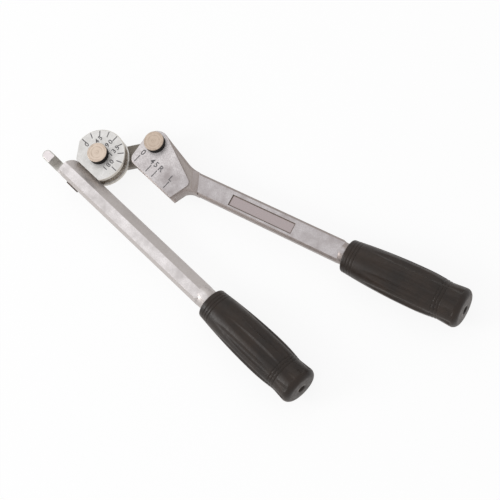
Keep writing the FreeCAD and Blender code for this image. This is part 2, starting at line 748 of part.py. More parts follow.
def tube_clip():
    """Hook that cradles the tube beside the wheel and swings down about its pin."""
    body = new_body("tube_clip", 0.0, CLIP_Y, MID)
    saddle = size("tube_radius") + size("clip_saddle_clearance")
    centre_x = -size("bend_radius")
    outer_x = centre_x - saddle - size("clip_tip_length")
    under = -saddle - size("clip_web")
    pin_x = -size("clip_pin_x")
    pin_z = -size("clip_pin_drop")
    eye = size("clip_eye_radius")
    tip_top = size("clip_tip_height")
    shoulder = size("slot_roof_height") - size("side_play")
    side = new_sketch(body, "clip_outline", "XZ_Plane")
    closed_outline(side, [
        (pin_x, pin_z - eye), (centre_x + size("clip_heel_reach"), under),
        (centre_x - saddle, under),
        (outer_x, tip_top - size("clip_tip_slope") / 2), (outer_x, tip_top),
        (centre_x, tip_top), (centre_x, shoulder), (pin_x - eye, shoulder),
        (pin_x, pin_z + eye),
    ])
    pad(body, "clip_blank", side, size("clip_width"), True)
    eye_end = new_sketch(body, "clip_eye_outline", "XZ_Plane")
    circle(eye_end, pin_x, pin_z, eye)
    pad(body, "clip_eye", eye_end, size("clip_width"), True)
    tip = upright_edges(body, [(outer_x, size("clip_width") / 2),
                               (outer_x, -size("clip_width") / 2)])
    dress(body, "clip_tip", "Fillet", tip, (size("clip_width") - size("clip_tip_flat")) / 2)
    crown = edges_where(body, lambda edge: abs(edge.CenterOfMass.z - tip_top.value) < 0.01
                        and edge.CenterOfMass.x < centre_x.value - saddle.value)
    dress(body, "clip_tip_edge", "Chamfer", crown, size("clip_tip_bevel"))
    round_saddle = new_sketch(body, "saddle_outline", "XZ_Plane")
    circle(round_saddle, centre_x, 0.0, saddle)
    cut(body, "saddle", round_saddle)
    mouth = new_sketch(body, "saddle_mouth_outline", "XZ_Plane")
    closed_outline(mouth, [
        (centre_x - saddle, 0.0), (centre_x + saddle, 0.0),
        (centre_x + saddle, tip_top + OVERRUN),
        (centre_x - saddle - size("clip_mouth_flare"), tip_top + OVERRUN),
    ])
    cut(body, "saddle_mouth", mouth)
    hole = new_sketch(body, "clip_bore_outline", "XZ_Plane")
    circle(hole, pin_x, pin_z, size("clip_pin_radius") + size("running_clearance"))
    cut(body, "clip_bore", hole)
    return body


def clip_pin():
    """Pin across the nose, its thin head against the bar's outer side."""
    body = new_body("clip_pin", -size("clip_pin_x"), BAR_OUTER_Y, MID - size("clip_pin_drop"))
    head = new_sketch(body, "clip_pin_head_outline", "XZ_Plane")
    circle(head, 0.0, 0.0, size("clip_head_radius"))
    pad(body, "clip_pin_head", head, size("clip_head_height"))
    front = edges_where(body, lambda edge: edge.CenterOfMass.y < -0.1)
    dress(body, "clip_pin_edge", "Chamfer", front, size("clip_head_chamfer"))
    shaft = new_sketch(body, "clip_pin_outline", "XZ_Plane")
    circle(shaft, 0.0, 0.0, size("clip_pin_radius"))
    pad(body, "clip_pin_shaft", shaft, POCKET_Y - BAR_OUTER_Y + CLIP_PIN_DEPTH,
        backwards=True)
    return body


def bow_radius(run, rise):
    """Radius of the arc that rises by rise over a run and ends level."""
    return (run * run + rise * rise) / (rise * 2)


BELLY_X = size("grip_length") - size("grip_belly_from_end")
WAIST_X = size("grip_length") - size("grip_waist_from_end")
NECK_BOW = bow_radius(BELLY_X - size("grip_neck_round"), size("grip_neck_fall"))
WAIST_BOW = bow_radius(WAIST_X - BELLY_X, size("grip_waist_fall"))
RINGS_IN_GROUP = 3


def sleeve_radius(x):
    """Outer radius of a grip at x, up to its waist."""
    bow = NECK_BOW if number(x) < BELLY_X.value else WAIST_BOW
    run = x - BELLY_X
    return size("grip_belly_radius") - bow + root(bow * bow - run * run)


def ring_grooves(body, name):
    """Three fine V rings behind the neck and three before the waist of a grip."""
    sketch = new_sketch(body, name + "_ring_section", "XY_Plane")
    wide = size("grip_ring_half_width")
    for index in range(RINGS_IN_GROUP):
        step = size("grip_ring_pitch") * index
        for x in (size("grip_ring_start") + step, WAIST_X - step):
            crest = sleeve_radius(x)
            floor = crest - size("grip_ring_depth")
            above = crest + size("grip_ring_depth")
            closed_outline(sketch, [(x, floor), (x + wide * 2, above), (x - wide * 2, above)])
    turned(body, name + "_rings", "Groove", sketch, "H_Axis")


def flutes(body, name):
    """Long hollows round the belly: a round cutter run parallel to the axis.

    The belly swells above the cutter's path and sinks under it again, so each hollow
    comes out as a slim leaf.
    """
    outline = new_sketch(body, name + "_flute_outline", "YZ_Plane", lift=WAIST_X)
    cutter = size("flute_radius")
    circle(outline, 0.0, size("grip_belly_radius") - size("flute_depth") + cutter, cutter)
    flute = cut(body, name + "_flute", outline, WAIST_X)
    ring = body.newObject("PartDesign::PolarPattern", name + "_flutes")
    ring.Originals = [flute]
    ring.Axis = ([part for part in body.Origin.OriginFeatures if part.Role == "X_Axis"][0], [""])
    ring.Angle = 360.0
    bind(ring, "Occurrences", size("flute_count"))
    body.Tip = ring
    settle(ring)


def grip(name, x, y, turn):
    """Moulded rubber sleeve: swelling belly, ring grooves, long flutes and a vent hole."""
    body = new_body(name, x, y, MID, turn)
    length = size("grip_length")
    belly = size("grip_belly_radius")
    neck = belly - size("grip_neck_fall")
    waist = belly - size("grip_waist_fall")
    flare = waist + size("grip_flare_rise")
    end_round = size("grip_end_round")
    neck_round = size("grip_neck_round")
    profile = new_sketch(body, name + "_profile", "XY_Plane")
    corners = [
        (0.0, 0.0), (length, 0.0), (length, flare - end_round), (length - end_round, flare),
        (WAIST_X, waist), (BELLY_X, belly), (neck_round, neck), (0.0, neck - neck_round),
    ]
    closed_outline(profile, corners, {
        2: (end_round, 1), 4: (WAIST_BOW, 1), 5: (NECK_BOW, 1), 6: (neck_round, 1),
    })
    turned(body, name + "_sleeve", "Revolution", profile, "H_Axis")

    def on_waist(edge):
        box = edge.BoundBox
        return box.XLength < 0.01 and abs(box.XMin - WAIST_X.value) < 0.05

    crease = edges_where(body, on_waist)
    dress(body, name + "_waist_blend", "Fillet", crease, size("grip_waist_round"))
    ring_grooves(body, name)
    flutes(body, name)

    bore = new_sketch(body, name + "_bore_outline", "YZ_Plane")
    circle(bore, 0.0, 0.0, size("tang_radius"))
    cut(body, name + "_bore", bore, TANG_LENGTH, backwards=True)
    vent = new_sketch(body, name + "_vent_outline", "YZ_Plane", lift=length)
    circle(vent, 0.0, 0.0, size("grip_vent_radius"))
    cut(body, name + "_vent", vent, size("grip_end_wall"))
    return body


sub_parts = [form_handle(), forming_wheel(), wheel_dowels()]
sub_parts += [pivot_pin("wheel_pin", 0.0, 0.0, WHEEL_TOP)]
sub_parts += [pivot_pin("shoe_pin", SHOE_PIN_X, SHOE_PIN_Y, SHOE_TOP)]
sub_parts += [link(), bending_handle(), tube_clip(), clip_pin()]
for which, place in (("wheel", (0.0, 0.0)), ("shoe", (SHOE_PIN_X, SHOE_PIN_Y))):
    sub_parts += [
        ring(which + "_tail_washer", size("pin_radius"), size("washer_radius"),
             TAIL_WASHER_BOTTOM, size("washer_thickness"), *place),
        ring(which + "_bush", BUSH_BORE, BUSH_OUTER, LINK_BOTTOM, LINK_THICKNESS, *place),
        ring(which + "_thrust_washer", BUSH_BORE, size("washer_radius"), LINK_TOP,
             size("thrust_washer_thickness"), *place),
    ]
sub_parts += [grip("form_grip", SHANK_END, BAR_Y, 0.0)]
bending_grip_x, bending_grip_y = on_beam(BEAM_SHANK_END, 0.0)
sub_parts += [grip("bending_grip", SHOE_PIN_X + bending_grip_x, SHOE_PIN_Y + bending_grip_y,
                   size("handle_angle"))]

doc.recompute()
for thing in doc.Objects:
    if "Invalid" in thing.State or "Error" in thing.State:
        raise RuntimeError("%s failed: %s" % (thing.Name, thing.State))
os.makedirs("parts", exist_ok=True)
for part in sub_parts:
    if part.Shape.isNull() or not part.Shape.isValid():
        raise RuntimeError("%s has no valid shape" % part.Label)
    part.Shape.exportStep("parts/%s.step" % part.Label)
    figures = (part.Label, len(part.Shape.Solids), part.Shape.Volume)
    print("%-22s solids %d  volume %9.1f mm3" % figures)
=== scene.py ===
"""Manual tube bender with two in-line handles, dressed for rendering.

Lengths are in millimetres times MM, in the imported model's own frame: the wheel pin stands on
the origin and Z points up from the floor the tool lies on. Only the grips' profile is worked
out in plain millimetres, and takes MM as its points are placed.
"""

import math

import bmesh
import bpy
from mathutils import Matrix, Vector


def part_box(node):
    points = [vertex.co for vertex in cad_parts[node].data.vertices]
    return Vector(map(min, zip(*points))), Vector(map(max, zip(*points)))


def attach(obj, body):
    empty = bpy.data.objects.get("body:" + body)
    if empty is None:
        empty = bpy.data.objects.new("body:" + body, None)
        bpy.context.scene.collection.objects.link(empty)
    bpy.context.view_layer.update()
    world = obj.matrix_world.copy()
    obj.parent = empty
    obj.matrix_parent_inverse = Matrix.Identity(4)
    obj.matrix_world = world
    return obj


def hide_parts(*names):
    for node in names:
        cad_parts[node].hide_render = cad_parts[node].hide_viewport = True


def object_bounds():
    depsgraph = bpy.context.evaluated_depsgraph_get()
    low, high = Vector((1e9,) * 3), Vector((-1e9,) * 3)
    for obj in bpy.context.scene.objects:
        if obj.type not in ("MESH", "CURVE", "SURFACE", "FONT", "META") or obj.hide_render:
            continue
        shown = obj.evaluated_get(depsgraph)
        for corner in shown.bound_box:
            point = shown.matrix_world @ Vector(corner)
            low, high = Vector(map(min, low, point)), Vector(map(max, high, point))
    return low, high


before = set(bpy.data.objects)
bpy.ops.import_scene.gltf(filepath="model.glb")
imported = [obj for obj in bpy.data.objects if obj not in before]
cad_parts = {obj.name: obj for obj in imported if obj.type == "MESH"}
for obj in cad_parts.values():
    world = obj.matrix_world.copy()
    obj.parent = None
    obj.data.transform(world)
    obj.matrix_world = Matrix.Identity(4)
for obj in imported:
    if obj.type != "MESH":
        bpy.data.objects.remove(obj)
cad_low, cad_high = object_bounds()

MM = 0.001

# The tool's middle plane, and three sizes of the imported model: how far the flat below the neck
# and the name panel's floor lie from that plane, and the turn of the bending handle.
MID_HEIGHT = sum(corner.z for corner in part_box("forming_wheel")) / 2
NECK_LEVEL = 7.2 * MM
PANEL_LEVEL = 4.2 * MM
HANDLE_TURN = math.radians(16.3)

# ------------------------------------------------------------------------------ camera

CAMERA_PLACE = Vector((0.70337, -0.05408, 1.41341))
CAMERA_RIGHT = Vector((0.68488, 0.69273, -0.22598))
CAMERA_UP = Vector((-0.63197, 0.71909, 0.28901))
CAMERA_LENS = 128.7
CAMERA_SENSOR = 36.0


def add_camera():
    data = bpy.data.cameras.new("view")
    data.lens = CAMERA_LENS
    data.sensor_width = CAMERA_SENSOR
    data.clip_start = 0.05
    data.clip_end = 20.0
    camera = bpy.data.objects.new("view", data)
    right = CAMERA_RIGHT.normalized()
    back = right.cross(CAMERA_UP).normalized()
    up = back.cross(right)
    turn = Matrix((right, up, back)).transposed().to_4x4()
    camera.matrix_world = Matrix.Translation(CAMERA_PLACE) @ turn
    bpy.context.scene.collection.objects.link(camera)
    bpy.context.scene.camera = camera


# ------------------------------------------------------------------------ shader helpers

# A level step's painted shade is full this near its height, and gone this far from it.
LEVEL_CORE, LEVEL_REACH = 0.15 * MM, 0.35 * MM


class Shader:
    """A node material under construction."""

    def __init__(self, name):
        self.material = bpy.data.materials.new(name)
        self.material.use_nodes = True
        tree = self.material.node_tree
        self.nodes, self.links = tree.nodes, tree.links
        self.surface = self.nodes["Principled BSDF"]
        self.place = self.nodes.new("ShaderNodeTexCoord").outputs["Object"]

    def set(self, **sockets):
        for name, value in sockets.items():
            self.surface.inputs[name.replace("_", " ")].default_value = value

    def join(self, source, socket):
        self.links.new(source, self.surface.inputs[socket])

    def noise(self, size, detail=3.0, roughness=0.5):
        """Noise whose features are about size metres across."""
        node = self.nodes.new("ShaderNodeTexNoise")
        node.inputs["Scale"].default_value = 1.0 / size
        node.inputs["Detail"].default_value = detail
        node.inputs["Roughness"].default_value = roughness
        self.links.new(self.place, node.inputs["Vector"])
        return node.outputs["Fac"]

    def span(self, source, low, high, out_low=0.0, out_high=1.0):
        """The source stretched from low..high to out_low..out_high and held inside it."""
        node = self.nodes.new("ShaderNodeMapRange")
        for name, value in zip(("From Min", "From Max", "To Min", "To Max"),
                               (low, high, out_low, out_high)):
            node.inputs[name].default_value = value
        self.links.new(source, node.inputs["Value"])
        return node.outputs["Result"]

    def math(self, operation, first, second):
        node = self.nodes.new("ShaderNodeMath")
        node.operation = operation
        for socket, value in zip(node.inputs, (first, second)):
            if isinstance(value, (int, float)):
                socket.default_value = value
            else:
                self.links.new(value, socket)
        return node.outputs[0]

    def mix(self, amount, first, second):
        """The first colour where amount is 0 and the second where it is 1."""
        node = self.nodes.new("ShaderNodeMix")
        node.data_type = "RGBA"
        self.links.new(amount, node.inputs["Factor"])
        for socket, colour in ((node.inputs["A"], first), (node.inputs["B"], second)):
            if isinstance(colour, tuple):
                socket.default_value = (*colour, 1.0)
            else:
                self.links.new(colour, socket)
        return node.outputs["Result"]

    def bump(self, height, distance, strength=1.0, under=None):
        node = self.nodes.new("ShaderNodeBump")
        node.inputs["Distance"].default_value = distance
        node.inputs["Strength"].default_value = strength
        self.links.new(height, node.inputs["Height"])
        if under:
            self.links.new(under, node.inputs["Normal"])
        return node.outputs["Normal"]

    def upward(self):
        """The Z part of the surface's own normal, 1 on level faces."""
        geometry = self.nodes.new("ShaderNodeNewGeometry")
        split = self.nodes.new("ShaderNodeSeparateXYZ")
        self.links.new(geometry.outputs["Normal"], split.inputs[0])
        return split.outputs["Z"]

    def at_level(self, rise):
        """1 on what lies rise metres above or below the tool's middle plane, 0 elsewhere."""
        split = self.nodes.new("ShaderNodeSeparateXYZ")
        self.links.new(self.place, split.inputs[0])
        height = self.math("SUBTRACT", split.outputs["Z"], MID_HEIGHT)
        above = self.math("SUBTRACT", self.math("ABSOLUTE", height, 0.0), rise)
        return self.span(self.math("ABSOLUTE", above, 0.0), LEVEL_REACH, LEVEL_CORE)

    def from_axis(self, x, y):
        """Distance from an upright axis, in metres."""
        move = self.nodes.new("ShaderNodeVectorMath")
        move.operation = "SUBTRACT"
        move.inputs[1].default_value = (x, y, 0.0)
        self.links.new(self.place, move.inputs[0])
        split = self.nodes.new("ShaderNodeSeparateXYZ")
        self.links.new(move.outputs[0], split.inputs[0])
        squares = [self.math("MULTIPLY", side, side) for side in split.outputs[:2]]
        return self.math("SQRT", self.math("ADD", *squares), 0.0)


# Sizes of the cast surface's blotches, specks, dull spots, grain and ripples, and how high the
# grain and the ripples stand.
BLOTCH, SPECK, DULL_SPOT, GRAIN, RIPPLE = 11 * MM, 1.1 * MM, 4 * MM, 0.8 * MM, 6 * MM
GRAIN_HEIGHT, RIPPLE_HEIGHT = 0.09 * MM, 0.22 * MM
SPECK_SHARE = 0.42
CAST_SWING = 0.07
# The painted pool of light round the shoe pin: full out to the first reach, gone at the second, its
# edge frayed by up to the third.
LIGHT_POOL_FULL, LIGHT_POOL_GONE, LIGHT_POOL_FRAY = 14 * MM, 44 * MM, 12 * MM
GROOVE_EDGE = 0.4 * MM
SIDE_TILT, LEVEL_TILT = 0.93, 0.99


def cast_metal(name, light, dark, roughness, side_shade, painted_light_spot=None, levels=(), groove=None):
    """Satin nickel over a fine cast surface, with a painted shade on what is not level.

    The light spot (x, y, colour) is a painted pool of light round an upright axis; levels are
    (rise, colour) of painted shade on level steps; groove is (radius, colour) of painted shade in a
    hollow round the origin.
    """
    shader = Shader(name)
    patches = shader.span(shader.noise(BLOTCH, 4.0, 0.6), 0.35, 0.7)
    speck = shader.span(shader.noise(SPECK, 2.0), 0.42, 0.62)
    face = shader.mix(patches, light, dark)
    # A painted pool of light, full near the given axis and frayed by the blotches.
    if painted_light_spot:
        x, y, colour = painted_light_spot
        fray = shader.span(patches, 0.0, 1.0, 0.0, LIGHT_POOL_FRAY)
        light_pool_reach = shader.math("ADD", shader.from_axis(x, y), fray)
        face = shader.mix(shader.span(light_pool_reach, LIGHT_POOL_FULL, LIGHT_POOL_GONE), colour, face)
    # Painted shade on each listed level step.
    for rise, colour in levels:
        face = shader.mix(shader.at_level(rise), face, colour)
    sides = side_shade
    # Painted shade in the hollow of the groove.
    if groove:
        radius, colour = groove
        hollow = shader.span(shader.from_axis(0.0, 0.0), radius, radius - GROOVE_EDGE)
        sides = shader.mix(hollow, side_shade, colour)
    # Painted shade on the tilted and upright faces, which take the side colour in place of the
    # face.
    level = shader.math("ABSOLUTE", shader.upward(), 0.0)
    face = shader.mix(shader.span(level, SIDE_TILT, LEVEL_TILT), sides, face)
    shader.join(shader.mix(shader.math("MULTIPLY", speck, SPECK_SHARE), face, dark), "Base Color")
    shader.join(shader.span(shader.noise(DULL_SPOT), 0.3, 0.7,
                            roughness - CAST_SWING, roughness + CAST_SWING), "Roughness")
    fine = shader.bump(shader.noise(GRAIN, 3.0, 0.6), GRAIN_HEIGHT, 0.6)
    shader.join(shader.bump(shader.noise(RIPPLE, 2.0), RIPPLE_HEIGHT, 0.5, fine), "Normal")
    shader.set(Metallic=0.6)
    return shader.material


# How close the lathe's rings lie, how deep they are cut, and the size of their worn spots.
RING_SCALE = 900.0
RING_CUT = 0.03 * MM
RING_WEAR = 3.5 * MM
FLANK_FROM, FLANK_TO = 0.55, 0.25
FLANK_ROUGHNESS = 0.65
TURNED_METALLIC = 0.8


def turned_metal(name, light, dark, roughness, x, y, side=None):
    """Lathe-turned metal with fine rings about an upright axis; side is a painted shade on its
    flanks.
    """
    shader = Shader(name)
    radius = shader.from_axis(x, y)
    node = shader.nodes.new("ShaderNodeTexNoise")
    node.noise_dimensions = "1D"
    node.inputs["Scale"].default_value = RING_SCALE
    shader.links.new(radius, node.inputs["W"])
    rings = node.outputs["Fac"]
    worn = shader.span(shader.noise(RING_WEAR, 4.0, 0.6), 0.3, 0.65)
    lines = shader.span(rings, 0.42, 0.62)
    colour = shader.mix(shader.math("MULTIPLY", lines, worn), light, dark)
    finish = shader.span(rings, 0.3, 0.7, roughness - 0.06, roughness + 0.08)
    if side:
        # Painted shade on the flanks; they also lose their metal and gain roughness.
        flank = shader.span(shader.upward(), FLANK_FROM, FLANK_TO)
        colour = shader.mix(flank, colour, side)
        lost = shader.math("MULTIPLY", flank, TURNED_METALLIC)
        shader.join(shader.math("SUBTRACT", TURNED_METALLIC, lost), "Metallic")
        finish = shader.math("MAXIMUM", finish, shader.math("MULTIPLY", flank, FLANK_ROUGHNESS))
        shader.set(Specular_IOR_Level=0.15)
    else:
        shader.set(Metallic=TURNED_METALLIC)
    shader.join(colour, "Base Color")
    shader.join(finish, "Roughness")
    shader.join(shader.bump(rings, RING_CUT, 0.5), "Normal")
    return shader.material


RUBBER_DARK, RUBBER_BLOOM = (0.0105, 0.0062, 0.004), (0.026, 0.015, 0.009)
RUBBER_SHEEN = (0.72, 0.44, 0.28)


def rubber(name):
    """Dark brown-black moulded rubber, slightly bloomed, with a fine matt grain."""
    shader = Shader(name)
    bloom = shader.span(shader.noise(20 * MM, 4.0, 0.6), 0.35, 0.75)
    shader.join(shader.mix(bloom, RUBBER_DARK, RUBBER_BLOOM), "Base Color")
    shader.join(shader.span(shader.noise(3 * MM), 0.3, 0.7, 0.34, 0.48), "Roughness")
    shader.join(shader.bump(shader.noise(0.7 * MM, 3.0), 0.04 * MM, 0.5), "Normal")
    shader.set(Specular_IOR_Level=0.32, Sheen_Weight=0.14, Sheen_Roughness=0.3,
               Sheen_Tint=(*RUBBER_SHEEN, 1.0))
    return shader.material


def mark_paint(name, dark, light_patch_colour):
    """Dark paint with lighter patches, for a stamping with worn spots and for painted shade."""
    shader = Shader(name)
    worn = shader.span(shader.noise(1.2 * MM, 3.0), 0.35, 0.8)
    shader.join(shader.mix(worn, dark, light_patch_colour), "Base Color")
    shader.set(Roughness=0.6, Metallic=0.3)
    return shader.material


# ------------------------------------------------------------------------- CAD finishes


def finish_node(name, material):
    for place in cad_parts[name].material_slots:
        place.material = material


# How wide the forged pieces' edges are rounded, in millimetres.
SOFT_EDGES = (("form_handle", 0.5), ("bending_handle", 0.25), ("forming_wheel", 0.25),
              ("link", 0.25), ("tube_clip", 0.6))
EDGE_ANGLE = math.radians(22.0)
FLAT_ANGLE = math.radians(0.4)
WELD_REACH = 0.002 * MM


def soften(name, width):
    """Break a forged piece's sharp edges with a small rounded bevel."""
    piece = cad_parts[name]
    weld = piece.modifiers.new("weld", "WELD")
    weld.merge_threshold = WELD_REACH
    plane = piece.modifiers.new("plane", "DECIMATE")
    plane.decimate_type = "DISSOLVE"
    plane.angle_limit = FLAT_ANGLE
    edge = piece.modifiers.new("edge", "BEVEL")
    edge.width = width
    edge.segments = 2
    edge.limit_method = "ANGLE"
    edge.angle_limit = EDGE_ANGLE
    edge.harden_normals = True


# Light colour, dark colour, roughness and the painted shade of the sides that aren't level.
BAR = ((0.84, 0.80, 0.80), (0.56, 0.525, 0.52), 0.40, (0.50, 0.46, 0.44))
SHOE = ((0.55, 0.52, 0.525), (0.37, 0.335, 0.335), 0.40, (0.31, 0.262, 0.24))
WHEEL = ((0.78, 0.765, 0.75), (0.60, 0.585, 0.565), 0.38, (0.62, 0.57, 0.50))
CLIP = ((0.86, 0.80, 0.81), (0.70, 0.65, 0.65), 0.38, (0.46, 0.45, 0.41))
# The link's colours are a painted shade, darker than the other nickel, as it lies under the wheel
# and shoe.
LINK_SHADED = ((0.27, 0.24, 0.21), (0.17, 0.15, 0.125), 0.45, (0.20, 0.175, 0.15))

# The painted pool of light on the shoe's face round its pin.
SHOE_PAINTED_LIGHT = (0.76, 0.72, 0.72)
# Painted shade on the neck's step and on the name panel's recessed floor.
SHOE_SHADED_STEPS = ((NECK_LEVEL, (0.31, 0.272, 0.25)), (PANEL_LEVEL, (0.40, 0.34, 0.34)))
# Painted shade in the wheel's groove.
WHEEL_GROOVE_SHADE = (22.9 * MM, (0.17, 0.135, 0.095))

# Light colour, dark colour, roughness and the near-black painted shade of the flanks, where they
# have one.
FLANK_SHADE = (0.008, 0.006, 0.005)
STEEL = ((0.60, 0.58, 0.56), (0.40, 0.38, 0.37), 0.34, None)
BRONZE = ((0.62, 0.42, 0.20), (0.42, 0.27, 0.13), 0.35, None)
TURNED = (
    ("wheel_pin", ((0.70, 0.585, 0.49), (0.46, 0.365, 0.29), 0.36, FLANK_SHADE)),
    ("shoe_pin", ((0.58, 0.475, 0.39), (0.40, 0.315, 0.25), 0.38, FLANK_SHADE)),
    ("wheel_tail_washer", STEEL), ("shoe_tail_washer", STEEL),
    ("wheel_thrust_washer", STEEL), ("shoe_thrust_washer", STEEL), ("wheel_dowels", STEEL),
    ("clip_pin", ((0.10, 0.07, 0.055), (0.05, 0.035, 0.028), 0.42, None)),
    ("wheel_bush", BRONZE), ("shoe_bush", BRONZE),
)


def middle(name):
    return sum(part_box(name), Vector()) / 2


def finish_metal():
    pin = middle("shoe_pin")
    bar = cast_metal("bar_satin", *BAR)
    shoe = cast_metal("shoe_satin", *SHOE, painted_light_spot=(pin.x, pin.y, SHOE_PAINTED_LIGHT),
                      levels=SHOE_SHADED_STEPS)
    wheel = cast_metal("wheel_satin", *WHEEL, groove=WHEEL_GROOVE_SHADE)
    clip = cast_metal("clip_satin", *CLIP)
    strap = cast_metal("link_painted_shade", *LINK_SHADED)
    for name, material in (("form_handle", bar), ("bending_handle", shoe),
                           ("forming_wheel", wheel), ("tube_clip", clip), ("link", strap)):
        finish_node(name, material)
    for name, (light, dark, roughness, side) in TURNED:
        axis = middle(name)
        finish_node(name, turned_metal(name + "_turned", light, dark, roughness,
                                       axis.x, axis.y, side))


# ------------------------------------------------------------------------------ marks

WHEEL_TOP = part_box("forming_wheel")[1].z
MARK_HEIGHT = 0.05 * MM
WHEEL_DIGITS = 4.4 * MM
SHOE_DIGITS = 5.2 * MM
DIGIT_SWELL = 0.12 * MM
DIGIT_SPACING = 1.32
CAPITAL_SHARE = 0.72
TICK_WIDTH = 0.9 * MM
TICK_STEPS = 6

# The wheel's scale: nine rays from 0 to 180 degrees, with every second one shorter.
SCALE_TICKS, SCALE_STEP = 9, 22.5
TICK_FAR, TICK_NEAR, SHORT_TICK_NEAR = 22.0, 17.0, 17.4
SCALE_FIGURES = (("0", -15.4, -0.7), ("45", -10.5, 9.4), ("90", -0.8, 13.0),
                 ("135", 7.7, 11.2), ("180", 13.3, -0.9))

# The shoe's gauge: lines across its edge and the figures behind them.
GAUGE_NEAR, GAUGE_FAR = 17.2, 23.8
GAUGE_LINES = (28.4, 42.7, 50.2, 65.6)
GAUGE_FIGURES = (("0", 28.8, 27.4), ("45", 43.5, 27.2), ("R", 51.6, 27.3), ("L", 64.9, 27.1))


def add_mesh(name, mesh, material, body):
    piece = bpy.data.objects.new(name, mesh)
    bpy.context.scene.collection.objects.link(piece)
    mesh.materials.clear()
    mesh.materials.append(material)
    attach(piece, body)
    return piece


def lying_axes(turn):
    """Level unit vectors along and across a handle turned by turn."""
    return (Vector((math.cos(turn), math.sin(turn), 0.0)),
            Vector((-math.sin(turn), math.cos(turn), 0.0)))


def stroke(build, start, end, top):
    """A bar-shaped stamping with rounded ends, from start to end."""
    along = (end - start).normalized()
    across = Vector((-along.y, along.x)) * TICK_WIDTH / 2
    rim = []
    for centre, first in ((end, -90.0), (start, 90.0)):
        for i in range(TICK_STEPS + 1):
            angle = math.radians(first + 180.0 * i / TICK_STEPS)
            spot = centre + along * math.cos(angle) * TICK_WIDTH / 2 + across * math.sin(angle)
            rim.append(spot)
    lower = [build.verts.new((p.x, p.y, top)) for p in rim]
    upper = [build.verts.new((p.x, p.y, top + MARK_HEIGHT)) for p in rim]
    build.faces.new(upper)
    count = len(rim)
    for i in range(count):
        j = (i + 1) % count
        build.faces.new((lower[i], lower[j], upper[j], upper[i]))


def lettering(text, centre, turn, height):
    """Plain sans figures as a mesh, centred and standing on the wheel's and shoe's face."""
    curve = bpy.data.curves.new("figures", "FONT")
    curve.body = text
    curve.size = height / CAPITAL_SHARE
    curve.align_x = "CENTER"
    curve.align_y = "CENTER"
    curve.extrude = MARK_HEIGHT / 2
    curve.offset = DIGIT_SWELL
    curve.resolution_u = 4
    curve.space_character = DIGIT_SPACING
    holder = bpy.data.objects.new("figures", curve)
    mesh = bpy.data.meshes.new_from_object(holder)
    bpy.data.objects.remove(holder)
    move = Matrix.Translation((centre.x, centre.y, WHEEL_TOP + MARK_HEIGHT / 2))
    mesh.transform(move @ Matrix.Rotation(turn, 4, "Z"))
    return mesh


def stamped(name, strokes, labels, turn, height, body, material):
    """Ticks and figures on a level face, joined into one piece."""
    build = bmesh.new()
    for start, end in strokes:
        stroke(build, start, end, WHEEL_TOP)
    for text, x, y in labels:
        figures = lettering(text, Vector((x, y)) * MM, turn, height)
        build.from_mesh(figures)
        bpy.data.meshes.remove(figures)
    mesh = bpy.data.meshes.new(name)
    build.to_mesh(mesh)
    build.free()
    add_mesh(name, mesh, material, body)


def add_marks():
    paint = mark_paint("stamping", (0.09, 0.085, 0.09), (0.24, 0.23, 0.23))
    ticks = []
    for i in range(SCALE_TICKS):
        angle = math.radians(180.0 - SCALE_STEP * i)
        ray = Vector((math.cos(angle), math.sin(angle)))
        near = SHORT_TICK_NEAR if i % 2 else TICK_NEAR
        ticks.append((ray * TICK_FAR * MM, ray * near * MM))
    stamped("wheel_scale", ticks, SCALE_FIGURES, math.radians(90.0), WHEEL_DIGITS,
            "form_side", paint)
    gauge = [(Vector((x, GAUGE_NEAR)) * MM, Vector((x, GAUGE_FAR)) * MM) for x in GAUGE_LINES]
    stamped("shoe_gauge", gauge, GAUGE_FIGURES, 0.0, SHOE_DIGITS,
            "bending_side", paint)


SHADE_FROM, SHADE_TO = 0.02 * MM, 0.9 * MM
SAME_LEVEL = 0.05 * MM


def add_panel_shade():
    """A dark frame of painted shade lying along the foot of the name panel's four walls."""
    floor_height = MID_HEIGHT + PANEL_LEVEL
    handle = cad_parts["bending_handle"].data
    spots = [handle.vertices[i].co for face in handle.polygons if face.normal.z > 0.99
             and abs(face.center.z - floor_height) < SAME_LEVEL for i in face.vertices]
    along, across = lying_axes(HANDLE_TURN)
    ends = [spot.dot(along) for spot in spots]
    sides = [spot.dot(across) for spot in spots]
    build = bmesh.new()
    rims = []
    for inset in (SHADE_FROM, SHADE_TO):
        left, right = min(ends) + inset, max(ends) - inset
        near, far = min(sides) + inset, max(sides) - inset
        for rise in (0.0, MARK_HEIGHT):
            up = Vector((0.0, 0.0, floor_height + rise))
            rims.append([build.verts.new(along * u + across * v + up)
                         for u, v in ((left, near), (right, near), (right, far), (left, far))])
    outer_foot, outer_top, inner_foot, inner_top = rims
    for before, after in ((outer_foot, outer_top), (outer_top, inner_top), (inner_top, inner_foot)):
        for i in range(4):
            j = (i + 1) % 4
            build.faces.new((before[i], before[j], after[j], after[i]))
    mesh = bpy.data.meshes.new("panel_shade")
    build.to_mesh(mesh)
    build.free()
    # The frame's colours are a painted shade in the panel's corners.
    add_mesh("panel_shade", mesh, mark_paint("panel_painted_shade", (0.13, 0.10, 0.085), (0.26, 0.21, 0.18)),
             "bending_side")


# ------------------------------------------------------------------------------- grips

